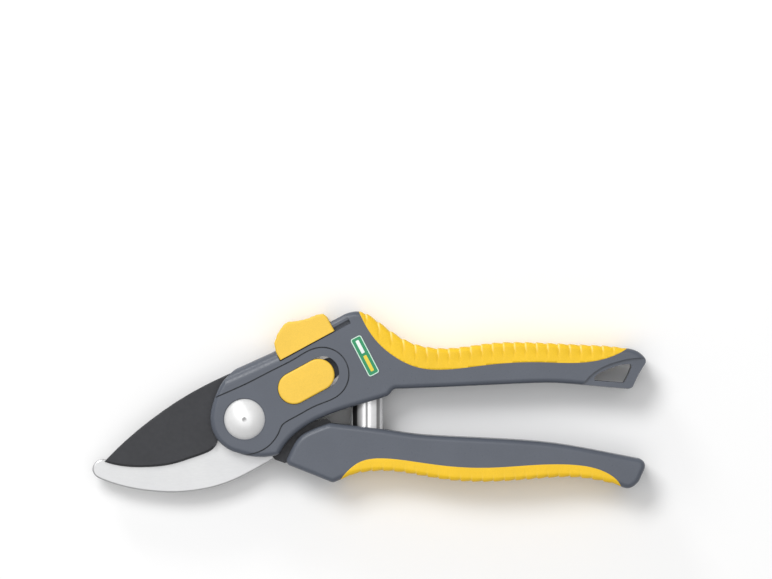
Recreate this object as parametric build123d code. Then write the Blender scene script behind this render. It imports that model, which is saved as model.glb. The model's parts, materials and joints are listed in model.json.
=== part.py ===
from build123d import *
import os
from math import atan2, cos, degrees, hypot, radians, sin

# Every part is drawn about the hinge axis: X along the handles, Y across them and Z through
# them, with Z = 0 on the plane in which the two blades slide past each other.

# Placement of the finished shears, lying on its back face
PIVOT = (-47.2, -6.45, 11.5)  # hinge axis, in the finished frame
Z_MID = -0.5  # parting plane of both handles
TRACK_ANGLE = 28.5  # direction of the two sliding controls
REACH = 20.0  # along Z, past every surface
SPAN = 70.0  # along Y, past every surface

# Handles
HEAD_HALF = 9.0  # half thickness of the flat head
GRIP_HALF = 10.2  # half thickness at the middle of a grip
RIM_R = 2.0  # rounding of the handle rims
NOSE_R = 4.6  # larger rounding along the top edge of the head
RAIL_R = 1.8  # rounding of the rails that the thumb slide straddles
NOSE_LINE = ((11.0, 25.5), (-3.6, 18.9))
NOSE_LAP = 0.05  # share of that line by which its rounding runs on over the rails
CORNER_R = 2.2
LOWER_END = (153.0, -15.6)  # outer corner of the lower handle
END_R = 2.8
GRIP_SKIN = 1.8  # grip overmould, measured through the handle
HOLLOW_HALF = 5.6
HOLLOW_R = 1.5
UPPER_HOLLOWS = (
    ((66, 14.6), (66, 22.6), (91, 23.5), (91, 15.2)),
    ((103, 16.0), (103, 24.0), (120, 24.0), (120, 16.2)),
)
LOWER_HOLLOWS = (
    ((77, -10.0), (77, -18.6), (101, -19.4), (101, -11.4)),
    ((114, -12.6), (114, -18.4), (132, -19.2), (132, -15.0)),
)
TAB_RECESS = 1.1  # depth of the step round the lanyard hole
HOLE_R = 0.8
COVER_T = 1.8
COVER_GAP = 0.5  # groove between a head cover and its shell
COVER_END = (29.4, 17.1, 9.9)  # round end of the head cover

# Blades
BLADE_Z = (0.05, 3.05)
HOOK_Z = (-4.05, -0.05)
CAVITY_Z = (-4.25, 3.25)
CAVITY_R = 27.4
BOSS_R = 10.2
LOBE_R = 26.0
BEVEL_W = 0.9
BEVEL_D = 2.3
HEEL = ((-10.4, -6.8), (-10.7, -9.4), (-11.9, -11.2))
CUTTING_EDGE = ((-14.2, -12.7), (-19.9, -14.8), (-27.6, -17.2), (-37.0, -18.3), (-46.5, -17.95))
BLADE_TIP = (-53.4, -16.3)
HOOK_EASE = 0.6
BLADE_EASE = 0.4

# Hinge
BOLT_R = 4.0
DOME_R = 7.7
DOME_H = 3.4
DIMPLE_R = 0.9
DISH = 0.5
BUSH_R = 5.25
RUNNING = 0.05  # play of the bush round the bolt
DOME_FIT = 0.35
NUT_FIT = 1.75
NUT_AF = 13.0
NUT_Z = (-11.5, -7.7)
SHIM_R = 7.0
SHIM_T = 0.14

# Sliding controls, in the frame of the track: s along it, n across it
SLIDE_HALF = 8.9
RAIL_HALF = 7.2
SKIRT_N = 13.2
SLIDE_FIT = 0.45
REBATE_S = 22.3  # start of the rebates under the thumb slide
RAIL_TOP = (16.95, 17.1)  # height of the rails at their outer and inner ends
GROOVE_W = 1.7
GROOVE_D = 2.0
TRACK_S = (20.0, 52.8)
TRACK_N = 11.2
TRACK_FAR = 30.0  # past the outer edge of the head
WEB_Z = (-3.9, 3.0)
LOCK_Z = (0.15, 2.95)
OVAL = (27.4, 1.4, 22.7, 12.1)  # centre s, centre n, length, width
OVAL_TRAVEL = 1.8
OVAL_PROUD = 0.6
OVAL_FIT = 0.15
POST = (29.0, 1.3, 1.75)
POST_FIT = 0.25
POST_LOW = -6.1  # lower end of the post, on the back button
STOP_PIN = (8.64, 8.33, 1.3)
PLATE_Z = (3.25, 4.75)
PLATE_FIT = 0.2
PLATE_EYE = 1.3  # width of the plate round the stop pin
PLATE_ROUNDS = (-4.9, 7.8)  # its two large rounds, from the middle of the oval
PLATE_HOLE = (36.7, 1.4, 4.3)

# Return spring
SPRING_X = 46.4
SPRING_R = 5.95
SPRING_Y = (-8.5, 11.5)
STRIP_T = 0.75
COIL_PITCH = 1.1
COILS = 3
STEPS = 16  # points on each coil
STEP_OUT = 5  # of them on the way out to the next coil
STRIP_W = 15.0
CUP_R = 6.2
POCKET_R = 6.3
PEG_R = 1.6
CUP_UPPER = 13.0  # far face of the upper cup
CUP_LOWER = -10.0
PEG_L = 2.5
BAND_R = (0.5, 6.5)  # limits of the wound strip
BAND_DROP = 1.1  # by which its inner coil stands lower

# Fasteners
PIN_R = 2.0
HOOK_PINS = ((48.0, 2.0), (57.5, -2.0))  # in the track frame
TANG_PINS = ((34.0, -12.4), (60.0, -14.1))
UPPER_SCREWS = ((60.0, 16.5), (97.0, 17.0), (126.0, 17.6))
LOWER_SCREWS = ((29.0, -17.6), (71.0, -13.5), (108.0, -13.8), (139.0, -17.6))
PIN_Z = (-7.0, 5.0)
TANG_PIN_Z = (-5.0, 6.0)
SCREW_R = 1.5
SCREW_HEAD_R = 2.75
SCREW_Z = (-9.0, -7.0, 5.0)  # outer face, seat and end of a screw
SCREW_FIT = (0.02, 0.1)  # round the shank and round the head
CROSS = (3.2, 0.8, 1.3)  # length, width and depth of the cross recess
LOCK_RIVETS = ((31.0, 14.0), (39.0, 14.0))  # in the track frame
RIVET_R = 1.0

LABEL = (45.6, 24.0, 15.9, 4.4)  # centre, length, width
LABEL_ANGLE = -62.5
LABEL_R = 0.9
LABEL_Z = (8.3, 8.85)


def at(s, n):
    a = radians(TRACK_ANGLE)
    return (s * cos(a) - n * sin(a), s * sin(a) + n * cos(a))


def polar(r, angle):
    return (r * cos(radians(angle)), r * sin(radians(angle)))


def arc(r, a0, a1):
    return ThreePointArc(polar(r, a0), polar(r, (a0 + a1) / 2), polar(r, a1))


def layer(face, low, high):
    return Pos(0, 0, low) * extrude(face, amount=high - low, dir=(0, 0, 1))


def rod(x, y, r, low, high):
    return Pos(x, y, (low + high) / 2) * Cylinder(r, high - low)


def track_rod(s, n, r, low, high):
    return rod(*at(s, n), r, low, high)


def track_box(s0, s1, n0, n1, low, high):
    box = Box(s1 - s0, n1 - n0, high - low)
    return Rot(0, 0, TRACK_ANGLE) * (Pos((s0 + s1) / 2, (n0 + n1) / 2, (low + high) / 2) * box)


def near(face, points, r):
    hit = [
        v for v in face.vertices()
        if any(hypot(v.X - x, v.Y - y) < 0.05 for x, y in points)
    ]
    return fillet(hit, r)


def polygon(points, r=0.0):
    face = make_face(Polyline(*points, close=True))
    return fillet(face.vertices(), r) if r else face


def one(shape):
    return max(shape.solids(), key=lambda s: s.volume)


# ---------------------------------------------------------------- handle blanks


def upper_outline():
    head = Spline(
        NOSE_LINE[1], (-8.6, 13.8), (-11.4, 7.9), (-12.9, 2.0),
        tangents=[(-0.75, -0.66), (-0.12, -1)],
    )
    disc = ThreePointArc(head @ 1, (-10.6, -7.3), (-2.6, -12.75))
    under = Spline(disc @ 1, (4.6, -14.3), (12.9, -13.5))
    gap = Spline(under @ 1, (17.5, -7.1), (24.1, -2.0), (36.2, 3.3), (54.6, 9.0))
    step = Line(gap @ 1, (56.6, 11.5))
    inner = Spline(step @ 1, (80, 12.4), (104, 13.5), (116, 13.8), (126, 13.2), (146.9, 11.4))
    end = Spline(inner @ 1, (149.0, 16.2), (152.6, 21.9))
    crown = Spline(end @ 1, (149.6, 25.3), (143.5, 26.8))
    top = Spline(
        crown @ 1, (130, 28.1), (108, 29.1), (92, 28.6), (75.3, 26.8), (62, 29.5),
        (50, 37.5), (43.3, 40.8), (37.4, 39.5),
        tangents=[(-4.9, 1.3), (-1, -0.55)],
    )
    track = Line(top @ 1, NOSE_LINE[0])
    nose = Line(track @ 1, head @ 0)
    face = make_face([head, disc, under, gap, step, inner, end, crown, top, track, nose])
    face = near(face, [(12.9, -13.5), (146.9, 11.4), (152.6, 21.9), (-3.6, 18.9)], CORNER_R)
    return near(face, [(54.6, 9.0), (56.6, 11.5)], CORNER_R)


def lower_outline():
    front = Spline(
        (15.1, -16.8), (17.5, -11.9), (21.1, -6.5), (25.4, -4.0), (29.4, -2.4), (32.3, -1.5),
    )
    top = Spline(
        front @ 1, (40.5, -2.4), (52.1, -3.8), (64.1, -5.6), (76.1, -6.5), (100.1, -7.7),
        (116.1, -9.0), (132.1, -11.6), LOWER_END,
    )
    side = Line(top @ 1, (149.8, -22.9))
    end = Spline(side @ 1, (147.9, -25.1), (145.3, -26.2), (142.4, -25.4), (138.5, -24.2))
    bottom = Spline(
        end @ 1, (124, -22.0), (108, -22.8), (92, -23.7), (76, -22.9), (62.5, -20.6),
        (51.3, -19.6), (42.5, -20.6), (33.5, -24.1),
        tangents=[(-6.5, 1.6), (-1, -0.42)],
    )
    chin = Line(bottom @ 1, front @ 0)
    face = make_face([front, top, side, end, bottom, chin])
    face = near(face, [(15.1, -16.8), (32.3, -1.5), (33.5, -24.1)], CORNER_R)
    return near(face, [LOWER_END], END_R)


def side_profile(stations, inset):
    """Solid between the front and back surfaces of a handle, seen along Y."""
    x0, x1 = stations[0][0], stations[1][0]
    curve = [(x, h - inset) for x, h in stations[1:]]
    h0 = curve[0][1]
    end = curve[-1]
    edges = [
        Line((x0, h0), (x1, h0)),
        Spline(*curve, tangents=[(1, 0), (1, -0.06)]),
        Line(end, (end[0], -end[1])),
        Spline(*[(x, -h) for x, h in reversed(curve)], tangents=[(-1, 0.06), (-1, 0)]),
        Line((x1, -h0), (x0, -h0)),
        Line((x0, -h0), (x0, h0)),
    ]
    face = Plane.XZ * make_face(edges)
    return Pos(0, 0, Z_MID) * extrude(face, amount=SPAN, both=True)


UPPER_SIDE = ((-30, HEAD_HALF), (36, HEAD_HALF), (88, GRIP_HALF), (116, GRIP_HALF), (160, 7.9))
LOWER_SIDE = ((0, 8.8), (20, 8.8), (48, 9.6), (88, GRIP_HALF), (116, GRIP_HALF), (160, 8.1))


def blank(outline, stations):
    solid = one(extrude(outline, amount=REACH, both=True) & side_profile(stations, 0))
    rims = [
        e for e in solid.edges()
        if abs(e.center().Z - Z_MID) > 5 and e.bounding_box().size.X > 0.01
    ]
    return fillet(rims, RIM_R)


def upper_core_plan():
    edge = Spline(
        (38.0, 37.4), (43.2, 38.4), (48.4, 35.7), (61.0, 27.3), (75.3, 24.4), (92.1, 26.2),
        (108, 26.7), (129.8, 25.7), (142.9, 24.3), (150, 21.8),
    )
    return make_face([edge, *Polyline(edge @ 1, (150, 0), (38, 0), edge @ 0).edges()])


def lower_core_plan():
    edge = Spline(
        (30.5, -23.6), (34.6, -21.9), (43.1, -18.3), (51.4, -17.2), (62.2, -18.2), (75.6, -20.5),
        (92, -21.3), (107.9, -20.4), (124.2, -19.6), (139.0, -21.9), (146, -24.2),
    )
    return make_face([edge, *Polyline(edge @ 1, (146, 5), (30.5, 5), edge @ 0).edges()])


def upper_grip_region():
    edge = Spline(
        (42.4, 43.0), (44.5, 38.2), (48.9, 30.9), (56.1, 24.2), (65.7, 19.6), (76.1, 18.8),
        (92.1, 20.6), (112, 21.6), (130.5, 21.7), (140.9, 24.5), (147.6, 29.0),
    )
    far = Polyline(edge @ 1, (150, 60), (40, 60), edge @ 0)
    return make_face([edge, *far.edges()])


def lower_grip_region():
    edge = Spline(
        (34.6, -26.0), (38.5, -20.2), (44.1, -16.0), (52.9, -14.8), (64.1, -16.0),
        (77.7, -17.8), (93.7, -18.3), (109.7, -17.3), (124, -17.2), (135.3, -19.4),
        (141.7, -23.8), (143.4, -29.0),
    )
    far = Polyline(edge @ 1, (150, -50), (34, -50), edge @ 0)
    return make_face([edge, *far.edges()])


def grip(solid, stations, region, core_plan):
    """Overmould wrapped round the outer edge of a handle."""
    core = extrude(core_plan, amount=REACH, both=True) & side_profile(stations, GRIP_SKIN)
    return one((solid & extrude(region, amount=REACH, both=True)) - core)


# ---------------------------------------------------------------- details of the upper shells


def end_tab_recess():
    edge = Spline((127.2, 11.5), (131.3, 16.9), (136, 20.0), (141.6, 22.0), (148, 23.2), (156, 22.4))
    far = Polyline(edge @ 1, (160, 4), (127, 4), edge @ 0)
    face = make_face([edge, *far.edges()])
    return side_cut(face, UPPER_SIDE, TAB_RECESS)


def side_cut(face, stations, depth):
    prism = extrude(face, amount=REACH, both=True)
    return prism - side_profile(stations, depth)


def lanyard_hole():
    points = [
        (131.5, 14.7), (133.6, 17.1), (137.6, 19.0), (142.4, 20.6), (147.0, 21.0),
        (145.6, 17.2), (143.8, 13.8),
    ]
    return layer(polygon(points, HOLE_R), -REACH, REACH)


def keyhole_region(grow):
    """Plan of the head cover, run out past the edge of the head on its left."""
    cx, cy, r = COVER_END
    ends = [polar(r, angle) for angle in range(108, -72, -20)]
    points = [(-13.4, 6.9), (-11.2, 7.9), (1.7, 13.7), (11, 18.5), (19, 22.6)]
    points += [(cx + x, cy + y) for x, y in ends]
    points += [
        (27, 5.4), (20.1, 1.7), (16.4, -0.3), (14.0, -2.2), (12.9, -4.6), (11.3, -7.4),
        (8.9, -10.0), (3.2, -12.75), (-0.7, -13.2), (-3.0, -13.1),
    ]
    outer = Spline(*shifted(points, grow))
    run = Polyline(outer @ 1, (-6, -18), (-20, -12), (-20, 6), outer @ 0)
    return make_face([outer, *run.edges()])


def shifted(points, distance):
    """The points moved to the left of the way they run by the distance."""
    moved = []
    for i, (x, y) in enumerate(points):
        (x0, y0), (x1, y1) = points[max(i - 1, 0)], points[min(i + 1, len(points) - 1)]
        length = hypot(x1 - x0, y1 - y0)
        moved.append((x - distance * (y1 - y0) / length, y + distance * (x1 - x0) / length))
    return moved


def oval_face(grow, travel):
    s, n, length, width = OVAL
    face = SlotOverall(length + travel + 2 * grow, width + 2 * grow)
    return Rot(0, 0, TRACK_ANGLE) * (Pos(s + travel / 2, n) * face)


def selector_plan(grow, travel):
    s, n, r = STOP_PIN
    s1, n1, _, width = OVAL
    wide = width / 2 + PLATE_FIT + grow
    circles = []
    for shift in (0, travel):
        circles += (Pos(s + shift, n) * Circle(r + PLATE_EYE + grow)).edges()
        for along in PLATE_ROUNDS:
            circles += (Pos(s1 + along + shift, n1) * Circle(wide)).edges()
    return Rot(0, 0, TRACK_ANGLE) * make_hull(circles)


def post_slot(low, high):
    s, n, r = POST
    width = 2 * (r + POST_FIT)
    face = Pos(s + OVAL_TRAVEL / 2, n) * SlotOverall(width + OVAL_TRAVEL, width)
    return layer(Rot(0, 0, TRACK_ANGLE) * face, low, high)


def head_cavity():
    disc = rod(0, 0, CAVITY_R, *CAVITY_Z)
    track = track_box(TRACK_S[0], TRACK_S[1], TRACK_N, TRACK_FAR, *CAVITY_Z)
    return disc + track


def rail_rebates():
    """Room for the skirts of the thumb slide, and the grooves that its lower edges run in."""
    s0, s1 = REBATE_S, TRACK_S[1]
    cuts = []
    for side in (1, -1):
        face = Z_MID + side * RAIL_HALF
        cuts.append(track_box(s0, s1, SKIRT_N - SLIDE_FIT, TRACK_FAR, *sorted((face, side * REACH))))
        groove = (SKIRT_N - SLIDE_FIT, SKIRT_N + GROOVE_W - SLIDE_FIT)
        cuts.append(track_box(s0, s1, *groove, *sorted((face - side * GROOVE_D, side * REACH))))
    return cuts


def edge_rounding(start, end, half, r, side):
    """Cutter that rounds a straight outer edge, on the front or on the back of the head."""
    (x0, y0), (x1, y1) = start, end
    length = hypot(x1 - x0, y1 - y0)
    waste = Pos(length / 2, -5, side * 5) * Box(length, 10, 10)
    waste -= Rot(0, 90, 0) * Cylinder(r, 3 * length)
    inward = Rot(0, 0, degrees(atan2(y1 - y0, x1 - x0))) * Pos(0, r, 0)
    return Pos(x0, y0, Z_MID + side * (half - r)) * inward * waste


def head_roundings():
    (x0, y0), (x1, y1) = NOSE_LINE
    dx, dy = x1 - x0, y1 - y0
    start = (x0 - NOSE_LAP * dx, y0 - NOSE_LAP * dy)
    beyond = (x1 + dx, y1 + dy)
    rail = (at(TRACK_S[1], RAIL_TOP[0]), at(REBATE_S, RAIL_TOP[1]))
    cuts = []
    for side in (1, -1):
        cuts.append(edge_rounding(start, beyond, HEAD_HALF, NOSE_R, side))
        cuts.append(edge_rounding(*rail, RAIL_HALF, RAIL_R, side))
    return cuts


def screw_hole(x, y):
    shank = rod(x, y, SCREW_R + SCREW_FIT[0], -REACH, SCREW_Z[2] + 0.2)
    return shank + rod(x, y, SCREW_HEAD_R + SCREW_FIT[1], -REACH, SCREW_Z[1])


def screw(x, y):
    outer, seat, end = SCREW_Z
    length, width, depth = CROSS
    head = fillet(rod(x, y, SCREW_HEAD_R, outer, seat).edges().group_by(Axis.Z)[0], 0.5)
    recess = Box(length, width, depth) + Box(width, length, depth)
    return head + rod(x, y, SCREW_R, seat, end) - Pos(x, y, outer + depth / 2) * recess


def pockets(outlines):
    """Closed hollows that keep the walls of a handle even."""
    low, high = Z_MID - HOLLOW_HALF, Z_MID + HOLLOW_HALF
    return [layer(polygon(points, HOLLOW_R), low, high) for points in outlines]


def halves(body):
    """The body split at the parting plane into its front and back."""
    size = 2 * REACH
    return [body & Pos(50, 0, Z_MID + side * REACH) * Box(260, 160, size) for side in (1, -1)]


def upright(y0, y1, r):
    """Cylinder along Y on the axis of the return spring."""
    return Pos(SPRING_X, (y0 + y1) / 2, Z_MID) * (Rot(90, 0, 0) * Cylinder(r, y1 - y0))


# ---------------------------------------------------------------- upper handle


def upper_shells():
    solid = blank(upper_outline(), UPPER_SIDE)
    for cut in head_roundings():
        solid -= cut
    sleeve = grip(solid, UPPER_SIDE, upper_grip_region(), upper_core_plan())
    body = solid - sleeve - end_tab_recess() - lanyard_hole()
    for cut in rail_rebates():
        body -= cut
    body -= head_cavity()
    body -= layer(hook_face(), *HOOK_Z)
    body -= upright(-5, CUP_UPPER, POCKET_R)
    body -= rod(0, 0, BOLT_R, -REACH, REACH)
    for x, y in UPPER_SCREWS:
        body -= screw_hole(x, y)
    for s, n in HOOK_PINS:
        body -= track_rod(s, n, PIN_R, *PIN_Z)
    for cut in pockets(UPPER_HOLLOWS):
        body -= cut
    front, back = halves(body)
    cover_front = cover(solid, 1)
    cover_back = cover(solid, -1)
    cover_z = HEAD_HALF - COVER_T
    front -= layer(keyhole_region(COVER_GAP), Z_MID + cover_z, 20)
    back -= layer(keyhole_region(COVER_GAP), -20, Z_MID - cover_z)
    front -= layer(selector_plan(PLATE_FIT, OVAL_TRAVEL), PLATE_Z[0] - 0.05, PLATE_Z[1] + PLATE_FIT)
    front -= layer(oval_face(OVAL_FIT, OVAL_TRAVEL), PLATE_Z[1], 20)
    front -= track_rod(*PLATE_HOLE[:2], PLATE_HOLE[2], 0.0, PLATE_Z[0])
    front -= post_slot(Z_MID - 1, PLATE_Z[0])
    front -= layer(label_face(), LABEL_Z[0], 20)
    back -= layer(oval_face(OVAL_FIT, OVAL_TRAVEL), -20, -6.0)
    back -= post_slot(POST_LOW, 0)
    return front, back, cover_front, cover_back, sleeve


def cover(solid, side):
    low, high = sorted((Z_MID + side * (HEAD_HALF - COVER_T), Z_MID + side * 20))
    part = solid & layer(keyhole_region(0), low, high)
    part -= layer(oval_face(OVAL_FIT, OVAL_TRAVEL), -REACH, REACH)
    top = Z_MID + HEAD_HALF
    if side > 0:
        part -= rod(0, 0, BOLT_R, -REACH, REACH) + rod(0, 0, DOME_R + DOME_FIT, top - DISH, 20)
    else:
        part -= rod(0, 0, NUT_AF / 2 + NUT_FIT, -REACH, REACH)
    return one(part)


def label_face():
    x, y, length, width = LABEL
    face = RectangleRounded(length, width, LABEL_R)
    return Pos(x, y) * (Rot(0, 0, LABEL_ANGLE) * face)


def eased(body, where, r):
    """Rounds the long edges of a plate whose middle lies where asked."""
    faces = (body.faces().sort_by(Axis.Z)[0], body.faces().sort_by(Axis.Z)[-1])
    edges = [
        e for face in faces for e in face.edges()
        if where(e.center().X, e.center().Y) and e.length > 20
    ]
    return fillet(edges, r)


def hook_face():
    outer = Spline(
        (-54.4, -15.3), (-56.5, -16.2), (-58.0, -18.7), (-57.3, -21.2), (-54.2, -23.2),
        (-48.8, -25.1), (-41.0, -26.9), (-33.2, -27.8), (-25.5, -28.0), (-17.7, -27.2),
        (-10.0, -25.5), (-3.8, -23.2), (3.2, -19.7), (9.4, -16.2), (14.6, -13.1),
    )
    throat = Spline(outer @ 1, (17.0, -6.9), (21.2, 0.6), at(26, -8))
    tang = Polyline(
        throat @ 1, at(34, -8), at(36, -6), at(59, -6), at(61, -4), at(61, 0), at(59, 2),
        at(50, 6), at(44, 10.8), at(4.75, 10.8),
    )
    rise = TRACK_ANGLE + degrees(atan2(10.8, 4.75))
    boss = arc(hypot(4.75, 10.8), rise, 205)
    inner = Spline(
        boss @ 1, (-14.6, -10.4), (-19.3, -12.6), (-25.5, -14.9), (-31.7, -16.1),
        (-39.4, -16.7), (-47.0, -16.2), outer @ 0,
    )
    return make_face([outer, throat, *tang.edges(), boss, inner])


def hook_blade():
    body = eased(layer(hook_face(), *HOOK_Z), lambda x, y: y < -12 and x < 12, HOOK_EASE)
    body -= rod(0, 0, BOLT_R, -REACH, REACH)
    body -= post_slot(-10, 10)
    for s, n in HOOK_PINS:
        body -= track_rod(s, n, PIN_R, -REACH, REACH)
    return one(body)


def hook_pins():
    return [track_rod(s, n, PIN_R, *PIN_Z) for s, n in HOOK_PINS]


def pivot_bolt():
    seat = Z_MID + HEAD_HALF - DISH
    radius = (DOME_R**2 + DOME_H**2) / (2 * DOME_H)
    dome = Pos(0, 0, seat + DOME_H - radius) * Sphere(radius)
    dome &= Pos(0, 0, seat + 10) * Box(40, 40, 20)
    dome -= Pos(0, 0, seat + DOME_H + 0.15) * Sphere(DIMPLE_R)
    return one(dome + rod(0, 0, BOLT_R, -11.3, seat))


def pivot_nut():
    body = layer(RegularPolygon(NUT_AF / 2, 6, major_radius=False), *NUT_Z)
    upward = (Align.CENTER, Align.CENTER, Align.MIN)
    round_off = Pos(0, 0, NUT_Z[0]) * Cone(7.0, 11.0, 4.0, align=upward)
    return one((body & round_off) - rod(0, 0, BOLT_R, -REACH, REACH))


def pivot_shims():
    tube = rod(0, 0, SHIM_R, 0, SHIM_T) - rod(0, 0, BOLT_R + 0.1, -1, 1)
    return [Pos(0, 0, BLADE_Z[1] + 0.03) * tube, Pos(0, 0, CAVITY_Z[0] + 0.03) * tube]


def spring_cup(seat, far, peg):
    """Disc behind the end of the spring, with a peg that reaches into its coils."""
    return one(upright(*sorted((seat, far)), CUP_R) + upright(*sorted((seat + peg, far)), PEG_R))


def spiral(inner_r, turns):
    """Coils of even radius that step outwards at the back of the spring, out of sight."""
    points = []
    for i in range(round(turns * STEPS) + 1):
        turn, part = divmod(i, STEPS)
        rise = min(part / STEP_OUT, 1.0)
        r = inner_r + COIL_PITCH * (turn + rise * rise * (3 - 2 * rise))
        points.append(polar(r, 45 + 360 * i / STEPS))
    return Spline(*points)


def volute_spring():
    """Flat strip wound on edge, each coil standing further along the axis than the last."""
    start = SPRING_R - STRIP_T - COIL_PITCH * COILS
    inside, outside = spiral(start, COILS), spiral(start + STRIP_T, COILS)
    face = make_face([inside, outside, Line(inside @ 0, outside @ 0), Line(inside @ 1, outside @ 1)])
    strip = Rot(-90, 0, 0) * extrude(face, amount=60, both=True)
    y0, y1 = SPRING_Y
    (r_in, r_out), low = BAND_R, y0 - BAND_DROP
    band = polygon([(r_in, low), (r_out, y1 - STRIP_W), (r_out, y1), (r_in, low + STRIP_W)])
    cone = revolve(band, Axis.Y, 360)
    return Pos(SPRING_X, 0, Z_MID) * one(strip & cone)


# ---------------------------------------------------------------- lower handle


def blade_face():
    spine = Spline(
        BLADE_TIP, (-43.3, -6.5), (-32.3, 2.2), (-22.8, 8.5), (-13.3, 13.7),
        polar(18.3, 104.5),
    )
    shoulder = Line(spine @ 1, polar(BOSS_R, 104.5))
    over = arc(BOSS_R, 104.5, TRACK_ANGLE + 22)
    lobe = Polyline(
        over @ 1, at(13.6, 8.8), at(14.6, 9.6), at(22.0, 9.6), at(22.6, 10.2), at(22.6, 12.2),
        at(22.0, 12.8), at(20.3, 12.8), at(20.3, 14.4), at((LOBE_R**2 - 14.4**2) ** 0.5, 14.4),
    )
    flank = arc(LOBE_R, TRACK_ANGLE + degrees(atan2(14.4, (LOBE_R**2 - 14.4**2) ** 0.5)), 22)
    tang = Polyline(
        flank @ 1, (25.4, 2.0), (26.8, -0.9), (31.2, 0.2), (34.5, -3.0), (38.2, -10.6),
        (54.0, -11.0), (64.5, -12.2), (66.2, -14.0), (64.0, -16.2), (50.0, -16.3),
        (33.0, -16.0), (27.5, -15.2), (21.0, -15.6), (15.1, -16.7), (11.4, -15.4),
        polar(BOSS_R, -53.5),
    )
    below = arc(BOSS_R, -53.5, -145)
    heel = Line(below @ 1, HEEL[0])
    edge = Spline(*HEEL, *CUTTING_EDGE, spine @ 0)
    return make_face([spine, shoulder, over, *lobe.edges(), flank, *tang.edges(), below, heel, edge])


def bevel():
    """Wedge ground off the front of the cutting edge."""
    edge = [HEEL[-1], *CUTTING_EDGE, BLADE_TIP]
    faces = []
    for z, shift in ((BLADE_Z[1] - BEVEL_D, -0.01), (BLADE_Z[1], BEVEL_W)):
        lifted = Spline(*[(x + 0.1 * shift * (x + 38) / -14, y + shift) for x, y in edge])
        rest = Polyline(lifted @ 1, (-60, -17.0 + shift), (-60, -32), (-9, -32), lifted @ 0)
        faces.append(Pos(0, 0, z) * make_face([lifted, *rest.edges()]))
    return loft(faces, ruled=True)


def cutting_blade():
    body = eased(layer(blade_face(), *BLADE_Z), lambda x, y: x < -10 and y > 0, BLADE_EASE)
    body -= bevel()
    body -= rod(0, 0, BUSH_R, -REACH, REACH)
    for x, y in TANG_PINS:
        body -= rod(x, y, PIN_R, -REACH, REACH)
    return one(body)


def lower_shells():
    solid = blank(lower_outline(), LOWER_SIDE)
    sleeve = grip(solid, LOWER_SIDE, lower_grip_region(), lower_core_plan())
    body = solid - sleeve
    body -= layer(blade_face(), *BLADE_Z)
    body -= upright(CUP_LOWER, 5, POCKET_R)
    for x, y in TANG_PINS:
        body -= rod(x, y, PIN_R, *TANG_PIN_Z)
    for x, y in LOWER_SCREWS:
        body -= screw_hole(x, y)
    for cut in pockets(LOWER_HOLLOWS):
        body -= cut
    front, back = halves(body)
    return front, back, sleeve


def pivot_bush():
    return rod(0, 0, BUSH_R, *BLADE_Z) - rod(0, 0, BOLT_R + RUNNING, -REACH, REACH)


def tang_pins():
    return [rod(x, y, PIN_R, *TANG_PIN_Z) for x, y in TANG_PINS]


# ---------------------------------------------------------------- sliding controls


def lock_plan():
    points = [
        (11.5, 10.0), (15.7, 10.0), (15.7, 12.5), (13.5, 12.5), (13.5, 14.9), (28.0, 14.9),
        (28.0, 12.0), (42.0, 12.0), (42.0, 16.0), (30.0, 16.0), (30.0, 16.6), (11.5, 16.6),
    ]
    return Rot(0, 0, TRACK_ANGLE) * polygon(points)


def lock_rivets():
    return [track_rod(s, n, RIVET_R, *WEB_Z) for s, n in LOCK_RIVETS]


def lock_plate():
    return one(layer(lock_plan(), *LOCK_Z) - lock_rivets())


def slide_profile():
    crest = Spline(
        (26.4, 22.5), (29.0, 23.9), (31.7, 24.6), (33.8, 23.8), (36.7, 22.8), (39.8, 22.1),
        (43.1, 21.7), (45.2, 20.8),
    )
    rest = Polyline(
        crest @ 1, (45.9, 19.2), (46.0, SKIRT_N), (22.5, SKIRT_N), (22.6, 16.7), (23.6, 20.0),
        crest @ 0,
    )
    face = make_face([crest, *rest.edges()])
    return near(face, [(23.6, 20.0), (45.9, 19.2)], 1.2)


def thumb_slide():
    face = Rot(0, 0, TRACK_ANGLE) * slide_profile()
    body = layer(face, Z_MID - SLIDE_HALF, Z_MID + SLIDE_HALF)
    rim = [e for e in body.edges() if abs(abs(e.center().Z - Z_MID) - SLIDE_HALF) < 0.01]
    high = [e for e in rim if -e.center().X * sin(radians(TRACK_ANGLE))
            + e.center().Y * cos(radians(TRACK_ANGLE)) > SKIRT_N + 0.5]
    body = fillet(high, 0.8)
    body -= track_box(20, 50, 10, 17.4, Z_MID - RAIL_HALF - 0.15, Z_MID + RAIL_HALF + 0.15)
    body += track_box(27, 43, 11.5, 18, *WEB_Z)
    body -= layer(lock_plan(), *LOCK_Z)
    return one(body - lock_rivets())


def selector_plate():
    body = layer(selector_plan(0, 0), *PLATE_Z)
    body -= track_rod(*POST, -REACH, REACH) + track_rod(*STOP_PIN, -REACH, REACH)
    return one(body - track_rod(*PLATE_HOLE, -REACH, REACH))


def selector_button(side):
    top = Z_MID + side * (HEAD_HALF + OVAL_PROUD)
    inner = PLATE_Z[1] + 0.1 if side > 0 else POST_LOW
    low, high = sorted((inner, top))
    body = layer(oval_face(0, 0), low, high)
    rim = [e for e in body.edges() if abs(e.center().Z - top) < 0.01]
    return fillet(rim, 0.7)


# ---------------------------------------------------------------- writing out


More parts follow.
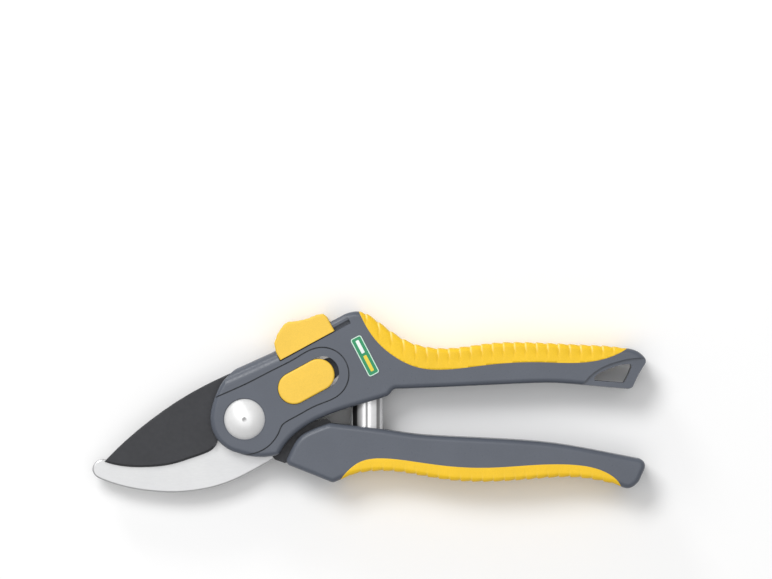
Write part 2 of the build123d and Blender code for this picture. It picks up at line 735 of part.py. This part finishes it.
def nodes():
    front, back, cover_front, cover_back, sleeve = upper_shells()
    lower_front, lower_back, lower_sleeve = lower_shells()
    return {
        "upper_shell_front": front,
        "upper_shell_back": back,
        "head_cover_front": cover_front,
        "head_cover_back": cover_back,
        "upper_grip": sleeve,
        "label_plate": layer(label_face(), *LABEL_Z),
        "hook_blade": hook_blade(),
        "hook_pins": hook_pins(),
        "pivot_bolt": pivot_bolt(),
        "pivot_nut": pivot_nut(),
        "pivot_shims": pivot_shims(),
        "upper_shell_screws": [screw(x, y) for x, y in UPPER_SCREWS],
        "spring_cup_upper": spring_cup(SPRING_Y[1], CUP_UPPER, -PEG_L),
        "volute_spring": volute_spring(),
        "lower_shell_front": lower_front,
        "lower_shell_back": lower_back,
        "lower_grip": lower_sleeve,
        "cutting_blade": cutting_blade(),
        "tang_pins": tang_pins(),
        "pivot_bush": pivot_bush(),
        "lower_shell_screws": [screw(x, y) for x, y in LOWER_SCREWS],
        "spring_cup_lower": spring_cup(SPRING_Y[0] - 0.02, CUP_LOWER, PEG_L + 0.02),
        "thumb_slide": thumb_slide(),
        "lock_plate": lock_plate(),
        "lock_rivets": lock_rivets(),
        "selector_plate": selector_plate(),
        "selector_post": track_rod(*POST, POST_LOW, PLATE_Z[1] + 0.1),
        "stop_pin": track_rod(*STOP_PIN, 0.3, PLATE_Z[1]),
        "selector_button_front": selector_button(1),
        "selector_button_back": selector_button(-1),
    }


os.makedirs("parts", exist_ok=True)
for name, shape in nodes().items():
    solids = [s for item in (shape if isinstance(shape, list) else [shape]) for s in item.solids()]
    moved = [Pos(*PIVOT) * s for s in solids]
    export_step(moved[0] if len(moved) == 1 else Compound(children=moved), f"parts/{name}.step")
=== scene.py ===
"""Looks for a pair of closed pruning shears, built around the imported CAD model.

Everything is in metres in the frame of the model: the shears lie on their back, +X runs to the
handle ends, +Y to the upper handle and +Z up out of the front face.
"""

import json
from math import cos, radians, sin, tau

import bmesh
import bpy
import numpy as np
from mathutils import Matrix, Vector


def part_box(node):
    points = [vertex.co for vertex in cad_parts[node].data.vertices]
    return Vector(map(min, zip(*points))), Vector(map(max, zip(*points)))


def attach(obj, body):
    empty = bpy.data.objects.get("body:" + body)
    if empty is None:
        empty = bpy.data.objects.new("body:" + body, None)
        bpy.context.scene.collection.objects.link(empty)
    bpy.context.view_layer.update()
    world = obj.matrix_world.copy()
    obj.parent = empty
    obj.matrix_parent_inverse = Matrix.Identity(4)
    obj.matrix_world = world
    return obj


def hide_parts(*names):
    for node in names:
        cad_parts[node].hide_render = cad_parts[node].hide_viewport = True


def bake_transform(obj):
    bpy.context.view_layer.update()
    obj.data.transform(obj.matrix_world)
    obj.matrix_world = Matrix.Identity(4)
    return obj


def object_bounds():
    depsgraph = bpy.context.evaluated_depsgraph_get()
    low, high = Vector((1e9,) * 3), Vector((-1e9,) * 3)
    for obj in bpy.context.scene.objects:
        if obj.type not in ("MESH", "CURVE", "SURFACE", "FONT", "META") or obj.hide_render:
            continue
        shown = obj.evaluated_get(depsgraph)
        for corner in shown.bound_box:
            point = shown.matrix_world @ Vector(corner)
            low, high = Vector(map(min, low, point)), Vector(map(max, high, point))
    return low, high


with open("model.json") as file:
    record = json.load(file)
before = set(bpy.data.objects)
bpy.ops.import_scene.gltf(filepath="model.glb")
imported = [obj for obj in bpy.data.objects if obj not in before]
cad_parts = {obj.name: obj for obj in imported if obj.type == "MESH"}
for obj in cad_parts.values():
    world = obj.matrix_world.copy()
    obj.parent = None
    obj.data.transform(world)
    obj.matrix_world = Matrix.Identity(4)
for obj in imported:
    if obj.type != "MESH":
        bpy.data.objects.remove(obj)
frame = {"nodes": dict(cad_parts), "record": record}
CAD_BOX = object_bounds()

MM = 0.001
NODES = frame["nodes"]
JOINTS = {joint["name"]: joint for joint in frame["record"]["behaviour"]["joints"]}
HINGE = Vector(JOINTS["handle_hinge"]["pos_m"])
TRACK = Vector(JOINTS["lock_slide_travel"]["axis"]).normalized()
ACROSS = Vector((-TRACK.y, TRACK.x, 0))

# Camera: straight down on the shears, with the space above them that a second pair would take
VIEW_CENTRE = (0.0064, 0.0427)
VIEW_WIDTH = 0.2934
LENS = 300.0
SENSOR = 36.0

WORLD_LIGHT = 0.38
# Area lights: place, width and height of the panel, watts
LIGHTS = {
    "key": ((-0.75, 1.15, 2.0), (1.0, 0.8), 28.0),
    "overhead": ((0, 0, 2.2), (2.2, 2.2), 20.0),
    "rim": ((-0.8, 1.5, 0.62), (0.5, 0.3), 6.0),
}
FLOOR_SIZE = 6.0

# Colours, as linear light
GREY = (0.0935, 0.105, 0.130)
YELLOW = (0.85, 0.53, 0.014)
YELLOW_HARD = (0.86, 0.55, 0.06)
# Painted highlight on the crests of the grip ribs
RIB_PAINTED_HIGHLIGHT = (0.98, 0.72, 0.26)
BLACK = (0.0205, 0.0215, 0.026)
SILVER = (0.525, 0.528, 0.53)
BADGE_COLOURS = {"badge_rim": (0.62, 0.82, 0.70), "badge_white": (0.80, 0.86, 0.82),
                 "badge_yellow": (0.80, 0.62, 0.05)}

# Heights and places that the looks depend on
PARTING_Z = HINGE.z - 0.5 * MM  # plane where front and back shells meet
PARTING_WIDTH = (0.06 * MM, 0.16 * MM)  # half widths of its hairline, full dark and clear
SELECTOR_N = 1.4 * MM  # middle of the selector, across its track from the hinge
GREASE = (3.6 * MM, 4.4 * MM)  # half widths of the greased band on it, full dark and clear
RING_PITCH = 0.35 * MM  # turning marks on the dome of the bolt
DIMPLE = 0.9 * MM  # radius of the dark dimple at its middle

# Sizes of the cells that a CAD body is cut into before relief is worked into it
GRIP_CELLS = (0.32 * MM, 0.9 * MM, 1.0 * MM)
SLIDE_CELLS = (0.35 * MM, 0.35 * MM, 1.2 * MM)
SPRING_CELLS = (1.0, 0.8 * MM, 1.0)
SLIVER = 0.03 * MM  # cells thinner than this are closed up
WELD = 1e-6  # points of the CAD mesh nearer than this are one
ON_CUT = 1e-7  # points nearer than this to a cutting plane lie on it

# Relief
RIB_DEPTH = 0.45 * MM
RIB_LEAN = 0.08
# Ribs of each grip: where they start from the hinge and their pitch before and after it, in mm;
# how far across the face they reach, as shares of its width; how strongly their painted highlight and
# painted shade lines show
UPPER_RIBS = {"start": 66.7, "before": 4.4, "after": 4.175, "reach": (0.45, 0.85), "line": 0.85}
LOWER_RIBS = {"start": 42.4, "before": 4.155, "after": 4.155, "reach": (0.02, 0.28), "line": 0.22}
RIB_FRONT = 0.12  # share of the pitch that the steep front of a rib takes
RIB_ARCH = 2.4  # power of the curve of its back
WALL = 3.5 * MM  # depth of the outer edge of a grip that carries ribs
TAPER = (1.6 * MM, 4.5 * MM)  # widths of a grip between which its ribs grow in
PAINTED_LINE_REACH = (0.45, 0.85)  # shares of the width between which the painted highlight and painted shade lines of the ribs fade
SLIDE_PITCH = 2.1 * MM
SLIDE_RIDGE = 0.16 * MM
SLIDE_CREST = (19.0 * MM, 20.0 * MM)  # heights over the hinge between which the ridges grow in

# Badge, in mm from the hinge: centre x and y, length and width
BADGE = (45.6, 24.0, 15.9, 4.4)
BADGE_TURN = radians(-62.5)
BADGE_FACE = 8.85
BADGE_CORNER = 0.9
BADGE_RIM = 0.35
RIM_SPAN = (BADGE_FACE - 0.3, BADGE_FACE + 0.1)  # bottom and top
RIM_EASE = 0.05
# Bars on the badge: length, and place along it from its middle
BARS = {"white": (5.4, -3.9), "yellow": (6.6, 3.1)}
BAR_WIDTH = 1.3
BAR_SPAN = (BADGE_FACE - 0.1, BADGE_FACE + 0.06)
CORNER_STEPS = 6


def camera():
    data = bpy.data.cameras.new("camera")
    data.lens = LENS
    data.sensor_width = SENSOR
    obj = bpy.data.objects.new("camera", data)
    mid = (CAD_BOX[0][2] + CAD_BOX[1][2]) / 2
    obj.location = (*VIEW_CENTRE, mid + VIEW_WIDTH * LENS / SENSOR)
    bpy.context.collection.objects.link(obj)
    bpy.context.scene.camera = obj


def area_light(name, location, size, watts):
    """Light that is aimed at the middle of the shears."""
    data = bpy.data.lights.new(name, "AREA")
    data.shape = "RECTANGLE"
    data.size, data.size_y = size
    data.energy = watts
    obj = bpy.data.objects.new(name, data)
    obj.location = location
    obj.rotation_euler = (Vector() - Vector(location)).to_track_quat("-Z", "Y").to_euler()
    bpy.context.collection.objects.link(obj)


def studio():
    scene = bpy.context.scene
    scene.view_settings.view_transform = "Standard"
    world = bpy.data.worlds.new("studio")
    scene.world = world
    world.use_nodes = True
    background = world.node_tree.nodes["Background"]
    background.inputs["Color"].default_value = (1, 1, 1, 1)
    background.inputs["Strength"].default_value = WORLD_LIGHT
    for name, (place, panel, watts) in LIGHTS.items():
        area_light(name, place, panel, watts)
    bpy.ops.mesh.primitive_plane_add(size=FLOOR_SIZE, location=(0, 0, 0))
    floor = bpy.context.object
    floor.name = "floor"
    floor.data.materials.append(floor_material())


# ---------------------------------------------------------------- materials


class Shader:
    """A node material that is built up a line at a time."""

    def __init__(self, name, **sockets):
        self.material = bpy.data.materials.new(name)
        self.material.use_nodes = True
        self.tree = self.material.node_tree
        self.surface = self.tree.nodes["Principled BSDF"]
        for socket, value in sockets.items():
            self.surface.inputs[socket.replace("_", " ")].default_value = value
        self.place = self.tree.nodes.new("ShaderNodeTexCoord").outputs["Object"]

    def node(self, kind, inputs=None, **settings):
        made = self.tree.nodes.new("ShaderNode" + kind)
        for key, value in settings.items():
            setattr(made, key, value)
        for key, value in (inputs or {}).items():
            if isinstance(value, bpy.types.NodeSocket):
                self.tree.links.new(value, made.inputs[key])
            else:
                made.inputs[key].default_value = value
        return made

    def noise(self, scale, detail=3.0, rough=0.55, stretch=None):
        place = self.place
        if stretch:
            place = self.node("Mapping", {"Vector": place, "Scale": stretch}).outputs[0]
        return self.node("TexNoise", {"Vector": place, "Scale": scale, "Detail": detail,
                                      "Roughness": rough}).outputs["Fac"]

    def ramp(self, value, *stops):
        made = self.node("ValToRGB", {"Fac": value})
        points = made.color_ramp.elements
        while len(points) < len(stops):
            points.new(0.5)
        for point, (place, colour) in zip(points, stops):
            point.position = place
            point.color = (*colour, 1)
        return made.outputs["Color"]

    def spread(self, value, low, high, from_low=0.3, from_high=0.7):
        return self.node("MapRange", {"Value": value, "From Min": from_low, "From Max": from_high,
                                      "To Min": low, "To Max": high}).outputs["Result"]

    def multiply(self, a, b):
        return self.node("Mix", {6: a, 7: b, 0: 1.0}, data_type="RGBA",
                         blend_type="MULTIPLY").outputs[2]

    def distance_from_axis(self, axis):
        """Distance from a line along Z through the point."""
        offset = self.node("VectorMath", {0: self.place, 1: axis}, operation="SUBTRACT").outputs[0]
        flat = self.node("VectorMath", {0: offset, 1: (1, 1, 0)}, operation="MULTIPLY").outputs[0]
        return self.node("VectorMath", {0: flat}, operation="LENGTH").outputs["Value"]

    def parting_line(self):
        """Darkens the hairline where the front and back shells meet."""
        height = self.node("SeparateXYZ", {0: self.place}).outputs["Z"]
        off = self.node("Math", {0: height, 1: PARTING_Z}, operation="SUBTRACT").outputs[0]
        off = self.node("Math", {0: off}, operation="ABSOLUTE").outputs[0]
        return self.spread(off, 0.35, 1.0, *PARTING_WIDTH)

    def colour(self, socket):
        self.tree.links.new(socket, self.surface.inputs["Base Color"])

    def roughness(self, socket):
        self.tree.links.new(socket, self.surface.inputs["Roughness"])

    def bump(self, height, distance, strength=1.0):
        previous = self.surface.inputs["Normal"]
        inputs = {"Height": height, "Distance": distance, "Strength": strength}
        if previous.is_linked:
            inputs["Normal"] = previous.links[0].from_socket
        made = self.node("Bump", inputs)
        self.tree.links.new(made.outputs["Normal"], previous)


def floor_material():
    shade = Shader("floor", Roughness=0.9)
    shade.surface.inputs["Base Color"].default_value = (0.9, 0.9, 0.9, 1)
    return shade.material


def shades(colour, amount):
    return tuple(c * (1 - amount) for c in colour), tuple(min(1, c * (1 + amount)) for c in colour)


def moulded(name, colour, rough, grain, seam=False, ribs=False):
    """Injection moulded plastic: fine spark-eroded grain and slow variations of tone."""
    shade = Shader(name, Roughness=rough, Specular_IOR_Level=0.35)
    dark, light = shades(colour, 0.045)
    tone = shade.ramp(shade.noise(60, 4), (0.3, dark), (0.7, light))
    fine = shade.ramp(shade.noise(2600, 2), (0.35, (0.93, 0.93, 0.93)), (0.65, (1, 1, 1)))
    tone = shade.multiply(tone, fine)
    # Painted highlight on the crest and painted shade at the foot of every rib, read from the mesh
    # attribute
    if ribs:
        lines = shade.node("Attribute", attribute_name="rib_painted_light").outputs["Fac"]
        tone = shade.node("Mix", {6: tone, 7: (*RIB_PAINTED_HIGHLIGHT, 1), 0: shade.spread(lines, 0, 1, 0, 1)},
                          data_type="RGBA").outputs[2]
        tone = shade.multiply(tone, shade.spread(lines, 0.80, 1.0, -1, 0))
    if seam:
        tone = shade.multiply(tone, shade.parting_line())
    shade.colour(tone)
    shade.roughness(shade.spread(shade.noise(900, 3), rough - 0.06, rough + 0.06))
    shade.bump(shade.noise(3500, 2), grain, 0.6)
    return shade.material


def coated_steel():
    """Black non-stick coat of slightly uneven tone, with a few rubbed spots."""
    shade = Shader("coated_steel", Roughness=0.5, Specular_IOR_Level=0.4)
    dark, light = shades(BLACK, 0.10)
    tone = shade.ramp(shade.noise(90, 5), (0.3, dark), (0.7, light))
    rubbed = shade.ramp(shade.noise(420, 6, 0.7), (0.66, (1, 1, 1)), (0.78, (1.35, 1.35, 1.35)))
    shade.colour(shade.multiply(tone, rubbed))
    shade.roughness(shade.spread(shade.noise(700, 4), 0.44, 0.56))
    shade.bump(shade.noise(2500, 3), 0.00002, 0.5)
    return shade.material


def ground_steel(name, colour, rough, stretch=(1, 1, 1), metallic=1.0):
    """Bright steel with fine grinding lines; stretch says along which axes they run."""
    shade = Shader(name, Roughness=rough, Metallic=metallic)
    dark, light = shades(colour, 0.035)
    lines = shade.noise(1800, 4, stretch=stretch)
    tone = shade.ramp(lines, (0.3, dark), (0.7, light))
    cloud = shade.ramp(shade.noise(70, 3), (0.3, (0.94, 0.94, 0.95)), (0.7, (1, 1, 1)))
    shade.colour(shade.multiply(tone, cloud))
    shade.roughness(shade.spread(lines, rough - 0.05, rough + 0.06))
    shade.bump(lines, 0.000004, 0.5)
    return shade.material


def turned_steel():
    """Polished dome of the bolt, with the faint rings that turning leaves."""
    shade = Shader("polished_steel", Roughness=0.45, Metallic=0.3)
    radius = shade.distance_from_axis(HINGE)
    rings = shade.node("Math", {0: radius, 1: tau / RING_PITCH}, operation="MULTIPLY").outputs[0]
    rings = shade.node("Math", {0: rings}, operation="SINE").outputs[0]
    dark, light = shades((0.80, 0.80, 0.80), 0.03)
    tone = shade.ramp(shade.noise(240, 4), (0.3, dark), (0.7, light))
    shade.colour(shade.multiply(tone, shade.spread(radius, 0.25, 1.0, 0, DIMPLE)))
    shade.roughness(shade.spread(shade.noise(600, 3), 0.38, 0.46))
    shade.bump(rings, 0.000002, 0.4)
    return shade.material


def sprung_steel():
    """Polished strip with painted reflections and painted shade: bright and dark bands that run along
    the spring.
    """
    shade = Shader("spring_steel", Roughness=0.24, Metallic=0.3)
    low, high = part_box("volute_spring")
    across = shade.node("SeparateXYZ", {0: shade.place}).outputs["X"]
    across = shade.spread(across, 0.0, 1.0, low.x, high.x)
    # Painted reflections of the coils and painted shade between them, as white, grey and black bands
    # placed along X
    white, silver, grey, black = (0.95,) * 3, (0.55,) * 3, (0.26,) * 3, (0.02,) * 3
    painted_reflections = shade.ramp(
        across, (0.0, white), (0.035, white), (0.05, black), (0.17, black), (0.21, grey),
        (0.32, silver), (0.36, white), (0.44, white), (0.465, grey), (0.51, grey),
        (0.54, white), (0.785, white), (0.815, grey), (0.89, grey), (0.93, white), (1.0, white),
    )
    mottle = shade.ramp(shade.noise(500, 4), (0.3, (0.92, 0.92, 0.93)), (0.7, (1, 1, 1)))
    shade.colour(shade.multiply(painted_reflections, mottle))
    shade.roughness(shade.spread(shade.noise(600, 3), 0.15, 0.26))
    return shade.material


MATERIALS = {
    "grey_plastic": lambda: moulded("grey_plastic", GREY, 0.33, 0.00003, seam=True),
    "yellow_plastic": lambda: moulded("yellow_plastic", YELLOW_HARD, 0.42, 0.00002),
    "yellow_grip": lambda: moulded("yellow_grip", YELLOW, 0.55, 0.00003, ribs=True),
    "coated_steel": coated_steel,
    "bright_steel": lambda: ground_steel("bright_steel", SILVER, 0.36, (0.25, 1, 1), 0.75),
    "polished_steel": turned_steel,
    "zinc_steel": lambda: ground_steel("zinc_steel", (0.62, 0.62, 0.64), 0.35),
    "spring_steel": sprung_steel,
    "bush_bronze": lambda: ground_steel("bush_bronze", (0.55, 0.38, 0.2), 0.45),
    "green_label": lambda: moulded("green_label", (0.02, 0.27, 0.115), 0.3, 0.00001),
}


def greased_steel():
    """Selector plate: bright at its sides, black with grease down the middle."""
    shade = Shader("greased_steel", Roughness=0.4, Metallic=0.5)
    offset = shade.node("VectorMath", {0: shade.place, 1: HINGE}, operation="SUBTRACT").outputs[0]
    across = shade.node("VectorMath", {0: offset, 1: ACROSS}, operation="DOT_PRODUCT")
    off = shade.node("Math", {0: across.outputs["Value"], 1: SELECTOR_N}, operation="SUBTRACT")
    off = shade.node("Math", {0: off.outputs[0]}, operation="ABSOLUTE").outputs[0]
    clean = shade.spread(off, 0.0, 1.0, *GREASE)
    tone = shade.ramp(clean, (0.0, (0.012, 0.012, 0.014)), (1.0, (0.75, 0.75, 0.76)))
    grime = shade.ramp(shade.noise(700, 4), (0.3, (0.8, 0.8, 0.8)), (0.7, (1, 1, 1)))
    shade.colour(shade.multiply(tone, grime))
    shade.roughness(shade.spread(shade.noise(900, 3), 0.32, 0.5))
    return shade.material


def dress_nodes():
    made = {name: build() for name, build in MATERIALS.items()}
    slots = {row["node"]: row["material_slot"] for row in frame["record"]["subparts"]}
    made["greased_steel"] = greased_steel()
    slots["selector_plate"] = "greased_steel"
    for name, node in NODES.items():
        for slot in node.material_slots:
            slot.material = made[slots[name]]
    return made


# ---------------------------------------------------------------- pieces


def sliced(node, name, steps):
    """Copy of a CAD node cut into cells, so that fine relief can be worked into it."""
    bm = bmesh.new()
    bm.from_mesh(NODES[node].data)
    bmesh.ops.remove_doubles(bm, verts=bm.verts, dist=WELD)
    low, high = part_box(node)
    for axis, step in enumerate(steps):
        normal = [float(axis == i) for i in range(3)]
        for i in range(1, int((high[axis] - low[axis]) / step) + 1):
            point = [0.0, 0.0, 0.0]
            point[axis] = low[axis] + i * step
            bmesh.ops.bisect_plane(bm, geom=[*bm.verts, *bm.edges, *bm.faces], dist=ON_CUT,
                                   plane_co=point, plane_no=normal)
    bmesh.ops.remove_doubles(bm, verts=bm.verts, dist=SLIVER)
    bmesh.ops.triangulate(bm, faces=bm.faces)
    mesh = bpy.data.meshes.new(name)
    bm.to_mesh(mesh)
    bm.free()
    obj = bpy.data.objects.new(name, mesh)
    bpy.context.collection.objects.link(obj)
    return obj


def vectors(mesh, what="co"):
    flat = np.zeros(len(mesh.vertices) * 3, np.float32)
    if what == "co":
        mesh.vertices.foreach_get("co", flat)
    else:
        mesh.vertex_normals.foreach_get("vector", flat)
    return flat.reshape(-1, 3).astype(float)


def finish_mesh(obj, material, angle=35.0):
    obj.data.materials.append(material)
    obj.data.polygons.foreach_set("use_smooth", [True] * len(obj.data.polygons))
    obj.data.set_sharp_from_angle(angle=radians(angle))


def smooth(x, low, high):
    t = np.clip((x - low) / (high - low), 0, 1)
    return t * t * (3 - 2 * t)


def rib(along, pitch):
    """Depth below the crest of overlapping ribs: a steep front and a long, slightly arched back."""
    phase = (along / pitch) % 1.0
    back = (phase - RIB_FRONT) / (1 - RIB_FRONT)
    return np.where(phase < RIB_FRONT, 1 - phase / RIB_FRONT, np.maximum(back, 0) ** RIB_ARCH)


def across_grip(co, normal, side):
    """Where points lie on a grip: along it, across it, its width there and what can carry ribs."""
    x, y, z = (co - np.array((HINGE.x, HINGE.y, PARTING_Z))).T
    face = normal[:, 2] * np.sign(z) > 0.5
    cell = ((x - x.min()) / (2 * GRIP_CELLS[0])).astype(int)
    edge, seam = np.full(cell.max() + 1, -np.inf), np.full(cell.max() + 1, np.inf)
    np.maximum.at(edge, cell, side * y)
    np.minimum.at(seam, cell[face], side * y[face])
    width = (edge - seam)[cell]
    share = (edge[cell] - side * y) / np.maximum(width, 0.1 * MM)
    wall = smooth(side * normal[:, 1], 0.1, 0.5) * (edge[cell] - side * y < WALL)
    along = (x + RIB_LEAN * y) / MM
    return along, share, smooth(width, *TAPER), np.maximum(face, wall)


def paint_rib_light(mesh, past, share, strength):
    """Paints a highlight on the crest and shade at the foot of every rib, for the grip's material."""
    painted_highlight = np.exp(-(((past - 0.05) / 0.07) ** 2)) * (1 - smooth(share, 0.15, 0.6))
    dark = np.exp(-(((past - 0.96) / 0.09) ** 2)) * smooth(share, 0.1, 0.5)
    lines = mesh.attributes.new("rib_painted_light", "FLOAT", "POINT")
    lines.data.foreach_set("value", (strength * (painted_highlight - dark)).astype(np.float32))


def ribbed_grip(node, body, side, ribs, material):
    """Grip overmould with ribs across its outer edge that die out towards the handle."""
    obj = sliced(node, node + "_ribbed", GRIP_CELLS)
    co, normal = vectors(obj.data), vectors(obj.data, "normal")
    along, share, ends, skin = across_grip(co, normal, side)
    along -= ribs["start"]
    pitch = np.where(along < 0, ribs["before"], ribs["after"])
    relief = (1 - smooth(share, *ribs["reach"])) * ends * skin
    co -= normal * (RIB_DEPTH * rib(along, pitch) * relief)[:, None]
    # Painted highlight and painted shade of the rib lines fade across the grip
    fade = (1 - smooth(share, *PAINTED_LINE_REACH)) * ends
    paint_rib_light(obj.data, (along % pitch) / pitch, share, ribs["line"] * fade)
    obj.data.vertices.foreach_set("co", co.ravel())
    finish_mesh(obj, material, 50)
    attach(obj, body)
    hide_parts(node)


def ridged_slide(material):
    """Thumb slide with grip ridges across the top of its crest."""
    obj = sliced("thumb_slide", "thumb_slide_ridged", SLIDE_CELLS)
    co, normal = vectors(obj.data), vectors(obj.data, "normal")
    along = (co - np.array(HINGE)) @ np.array(TRACK)
    height = (co - np.array(HINGE)) @ np.array(ACROSS)
    up = smooth(normal @ np.array(ACROSS) - 0.8 * normal @ np.array(TRACK), 0.35, 0.75)
    depth = SLIDE_RIDGE * rib(along, SLIDE_PITCH) * up * smooth(height, *SLIDE_CREST)
    co -= normal * depth[:, None]
    obj.data.vertices.foreach_set("co", co.ravel())
    finish_mesh(obj, material, 40)
    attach(obj, "lock_slide")
    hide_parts("thumb_slide")


def return_spring(material):
    """The volute spring between the two handles, attached to neither of them."""
    obj = sliced("volute_spring", "return_spring", SPRING_CELLS)
    finish_mesh(obj, material, 40)
    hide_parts("volute_spring")
    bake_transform(obj)


def rounded(length, width, r):
    """Outline of a rectangle with round corners."""
    points = []
    for k, (sx, sy) in enumerate(((1, 1), (-1, 1), (-1, -1), (1, -1))):
        for i in range(CORNER_STEPS + 1):
            turn = radians(90 * k + 90 / CORNER_STEPS * i)
            points.append((sx * (length / 2 - r) + r * cos(turn), sy * (width / 2 - r) + r * sin(turn)))
    return points


def plate(name, outline, low, high, inner=None, ease=0.0):
    """Flat plate or ring with eased top edges, in millimetres about its own middle."""
    bm = bmesh.new()
    loops = [[bm.verts.new((x, y, z)) for x, y in line]
             for line in ([outline] + ([inner] if inner else [])) for z in (low, high)]
    count = len(outline)
    for i in range(count):
        j = (i + 1) % count
        bm.faces.new((loops[0][i], loops[0][j], loops[1][j], loops[1][i]))
        if inner:
            bm.faces.new((loops[2][j], loops[2][i], loops[3][i], loops[3][j]))
            bm.faces.new((loops[1][i], loops[1][j], loops[3][j], loops[3][i]))
            bm.faces.new((loops[0][j], loops[0][i], loops[2][i], loops[2][j]))
    if not inner:
        bm.faces.new(loops[1])
        bm.faces.new(loops[0][::-1])
    if ease:
        bm.normal_update()
        tops = [e for e in bm.edges if all(abs(v.co.z - high) < 1e-9 for v in e.verts)
                and len({round(f.normal.z) for f in e.link_faces}) == 2]
        bmesh.ops.bevel(bm, geom=tops, offset=ease, segments=2, affect="EDGES", profile=0.5)
    mesh = bpy.data.meshes.new(name)
    bm.to_mesh(mesh)
    bm.free()
    obj = bpy.data.objects.new(name, mesh)
    bpy.context.collection.objects.link(obj)
    return obj


def badge():
    """Pale raised rim round the green plate, with two plain bars in place of any lettering."""
    x, y, length, width = BADGE
    inside = rounded(length - 2 * BADGE_RIM, width - 2 * BADGE_RIM, 0.6)
    rim = plate("badge_rim", rounded(length, width, BADGE_CORNER), *RIM_SPAN, inside, RIM_EASE)
    pieces = [(rim, 0, "badge_rim")]
    for name, (reach, shift) in BARS.items():
        bar = plate("badge_bar_" + name, rounded(reach, BAR_WIDTH, 0.3), *BAR_SPAN)
        pieces.append((bar, shift, "badge_" + name))
    for obj, shift, colour in pieces:
        finish_mesh(obj, moulded(colour, BADGE_COLOURS[colour], 0.35, 0.00001))
        turn = Matrix.Rotation(BADGE_TURN, 4, "Z")
        place = Matrix.Translation(HINGE + Vector((x, y, 0)) * MM)
        obj.data.transform(place @ turn @ Matrix.Scale(MM, 4) @ Matrix.Translation((shift, 0, 0)))
        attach(obj, "upper_handle")


camera()
studio()
made = dress_nodes()
ribbed_grip("upper_grip", "upper_handle", 1, UPPER_RIBS, made["yellow_grip"])
ribbed_grip("lower_grip", "lower_handle", -1, LOWER_RIBS, made["yellow_grip"])
ridged_slide(made["yellow_plastic"])
return_spring(made["spring_steel"])
badge()
